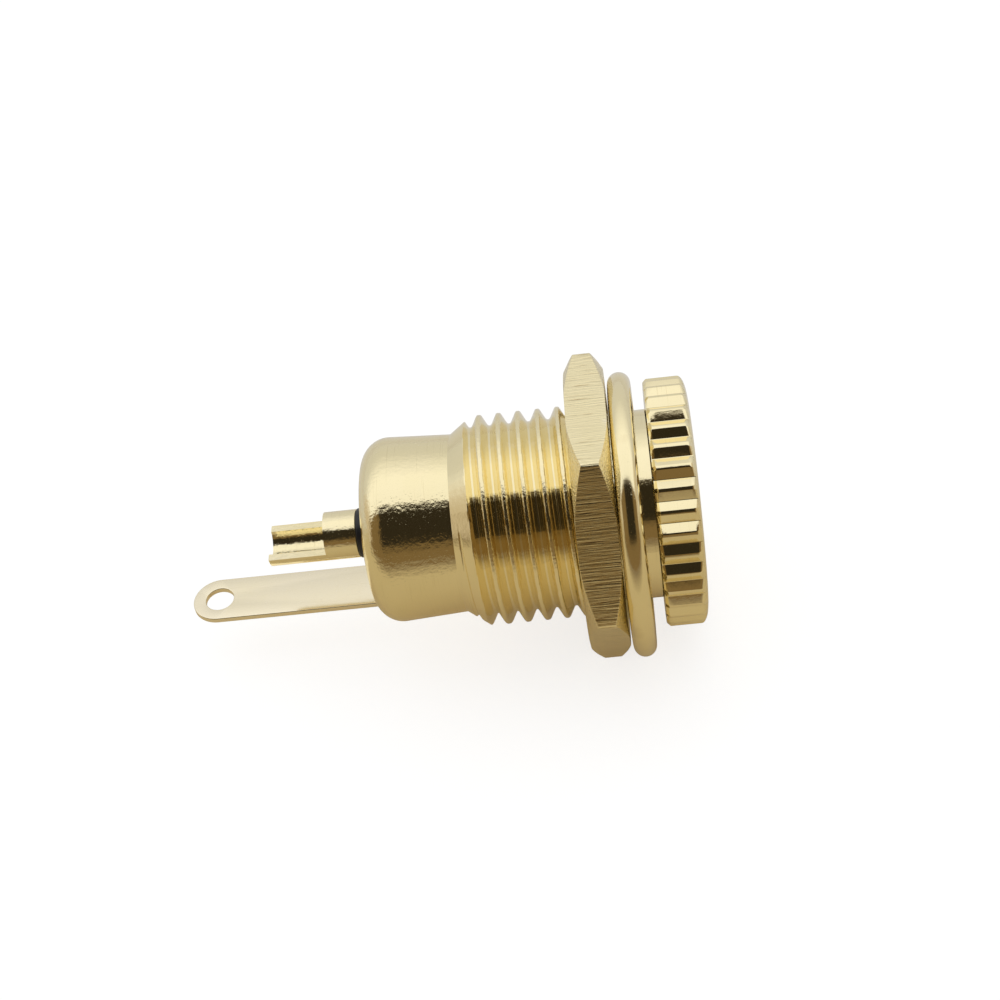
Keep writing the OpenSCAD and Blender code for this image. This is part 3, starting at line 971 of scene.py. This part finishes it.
studio = {
    "floorSize": 3.0,
    "floorColour": (0.62, 0.62, 0.62, 1),
    "floorGlow": 0.73,
    "floorRough": 0.9,
    "floorSpecular": 0.1,
    "paintedReflectionNear": (1.0, 0.83, 0.5, 1),      # painted reflection of a warm floor near the object, only for glossy rays
    "paintedShadeFar": (0.35, 0.24, 0.11, 1),     # painted shade, going to dark brown far out in front
    "paintedReflectionBack": (1.0, 0.97, 0.92, 1),     # pale painted reflection behind
    "paintedShadeReach": 0.03,                      # distance at which the painted reflection starts to dim into painted shade, m
    "backRange": (0.0, 0.02),
    "glossShare": (0.05, 0.2),             # glow left for reflections, in front and behind
    "plainLevel": 0.45,
    "wallStops": ((-180, 0.62), (-5, 0.5), (60, 0.98), (90, 1.02),  # degrees up from the front, level
                  (112, 1.05), (131, 0.88), (150, 0.7), (180, 0.66)),
    "room": (0.2, 0.135, 0.06, 1),         # the dim room in front of the tent
    "sideTone": (0.6, 0.52, 0.41, 1),      # what shows far to the left and right
    "roomRange": (-6, 2, 68.5, 76.5),      # degrees up from the front horizon
    "roomSides": (0.93, 0.985),            # how far sideways the side tone fades in
    "tentSides": (0.86, 0.98),
    "openingRange": (16, 30),              # the dark opening in it, seen in the round sides
    "openingSides": (-0.62, -0.4, 0.55, 0.75),
    "openingDark": (0.027, 0.021, 0.012, 1),
    "lampSize": (0.22, 0.16),
    "lampSpot": (0.0, 0.03, 0.2),
    "lampPower": 0.025,
}


# White to the camera; reflections see less of its glow and a painted floor colour: a warm painted
# reflection near, painted shade going to dark brown far in front, pale behind
def buildFloor():
    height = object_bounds()[0][2]
    half = studio["floorSize"] / 2
    mesh = bpy.data.meshes.new("floor")
    corners = [(x, y, height) for x, y in ((-half, -half), (half, -half), (half, half), (-half, half))]
    mesh.from_pydata(corners, [], [(0, 1, 2, 3)])
    floor = bpy.data.objects.new("floor", mesh)
    bpy.context.scene.collection.objects.link(floor)
    material = bpy.data.materials.new("paleFloor")
    material.use_nodes = True
    tree = material.node_tree
    shader = tree.nodes["Principled BSDF"]
    shader.inputs["Roughness"].default_value = studio["floorRough"]
    shader.inputs["Specular IOR Level"].default_value = studio["floorSpecular"]
    rays = addNode(tree, "ShaderNodeLightPath")
    parts = addNode(tree, "ShaderNodeSeparateXYZ")
    tree.links.new(addNode(tree, "ShaderNodeTexCoord").outputs["Object"], parts.inputs[0])
    # glossy rays get colours painted by place on the floor: painted reflection near and behind, painted
    # shade far in front
    behind = mapRange(tree, parts.outputs[1], *studio["backRange"], smooth=True)
    away = mathNode(tree, "MINIMUM", parts.outputs[1], -studio["paintedShadeReach"])
    nearness = mathNode(tree, "DIVIDE", -studio["paintedShadeReach"], away)
    paintedFloorReflection = mixColour(tree, nearness, studio["paintedShadeFar"], studio["paintedReflectionNear"])
    paintedFloorReflection = mixColour(tree, behind, paintedFloorReflection, studio["paintedReflectionBack"])
    base = mixColour(tree, rays.outputs["Is Glossy Ray"], studio["floorColour"], paintedFloorReflection)
    tree.links.new(base, shader.inputs["Base Color"])
    seen = mathNode(tree, "MAXIMUM", rays.outputs["Is Camera Ray"], rays.outputs["Is Transmission Ray"])
    share = mapRange(tree, behind, 0, 1, *studio["glossShare"])
    seen = mathNode(tree, "MULTIPLY_ADD", rays.outputs["Is Glossy Ray"], share, seen)
    glow = addNode(tree, "ShaderNodeEmission", Color=(1, 1, 1, 1))
    tree.links.new(mathNode(tree, "MULTIPLY", seen, studio["floorGlow"]), glow.inputs["Strength"])
    both = addNode(tree, "ShaderNodeAddShader")
    tree.links.new(shader.outputs[0], both.inputs[0])
    tree.links.new(glow.outputs[0], both.inputs[1])
    tree.links.new(both.outputs[0], tree.nodes["Material Output"].inputs["Surface"])
    mesh.materials.append(material)


# Camera and transmission rays see white; glossy rays see a tent with a dim room in front instead
def buildWorld():
    world = bpy.data.worlds.new("lightTent")
    bpy.context.scene.world = world
    world.use_nodes = True
    tree = world.node_tree
    background = tree.nodes["Background"]
    way = addNode(tree, "ShaderNodeTexCoord").outputs["Generated"]
    parts = addNode(tree, "ShaderNodeSeparateXYZ")
    tree.links.new(way, parts.inputs[0])
    forward = mathNode(tree, "MULTIPLY", parts.outputs[1], -1.0)
    angle = mathNode(tree, "ARCTAN2", parts.outputs[2], forward)
    ramp = addNode(tree, "ShaderNodeValToRGB")
    tree.links.new(mapRange(tree, angle, -math.pi, math.pi), ramp.inputs[0])
    stops = ramp.color_ramp.elements
    for i, (degrees, level) in enumerate(studio["wallStops"]):
        place = (degrees + 180) / 360
        stop = stops[i] if i < 2 else stops.new(place)
        stop.position = place
        stop.color = (level, level, level, 1)
    low, lowEnd, high, highEnd = (math.radians(d) for d in studio["roomRange"])
    inRoom = mathNode(tree, "MULTIPLY", mapRange(tree, angle, low, lowEnd, smooth=True),
                      mapRange(tree, angle, highEnd, high, smooth=True))
    side = mathNode(tree, "ABSOLUTE", parts.outputs[0])
    roomSide = mapRange(tree, side, *studio["roomSides"], smooth=True)
    room = mixColour(tree, roomSide, studio["room"], studio["sideTone"])
    tentSide = mapRange(tree, side, *studio["tentSides"], smooth=True)
    tent = mixColour(tree, tentSide, ramp.outputs[0], studio["sideTone"])
    tent = mixColour(tree, inRoom, tent, room)
    foot, footEnd = (math.radians(d) for d in studio["openingRange"])
    left, leftEnd, rightEnd, right = studio["openingSides"]
    opening = mathNode(tree, "MULTIPLY", mapRange(tree, parts.outputs[0], left, leftEnd, smooth=True),
                       mapRange(tree, parts.outputs[0], right, rightEnd, smooth=True))
    opening = mathNode(tree, "MULTIPLY", opening, mapRange(tree, angle, foot, footEnd, smooth=True))
    opening = mathNode(tree, "MULTIPLY", opening, inRoom)
    tent = mixColour(tree, opening, tent, studio["openingDark"])
    rays = addNode(tree, "ShaderNodeLightPath")
    plain = studio["plainLevel"]
    level = mixColour(tree, rays.outputs["Is Glossy Ray"], (plain, plain, plain, 1), tent)
    seen = mathNode(tree, "MAXIMUM", rays.outputs["Is Camera Ray"], rays.outputs["Is Transmission Ray"])
    level = mixColour(tree, seen, level, (1, 1, 1, 1))
    tree.links.new(level, background.inputs["Color"])


def buildLamp():
    data = bpy.data.lights.new("softBox", "AREA")
    data.shape = "RECTANGLE"
    data.size, data.size_y = studio["lampSize"]
    data.energy = studio["lampPower"]
    lamp = bpy.data.objects.new("softBox", data)
    spot = Vector(studio["lampSpot"])
    lamp.location = spot
    lamp.rotation_euler = (-spot).to_track_quat("-Z", "Y").to_euler()
    lamp.visible_glossy = False
    bpy.context.scene.collection.objects.link(lamp)


buildFloor()
buildWorld()
buildLamp()
bpy.context.scene.view_settings.view_transform = "Standard"
print("studio built")
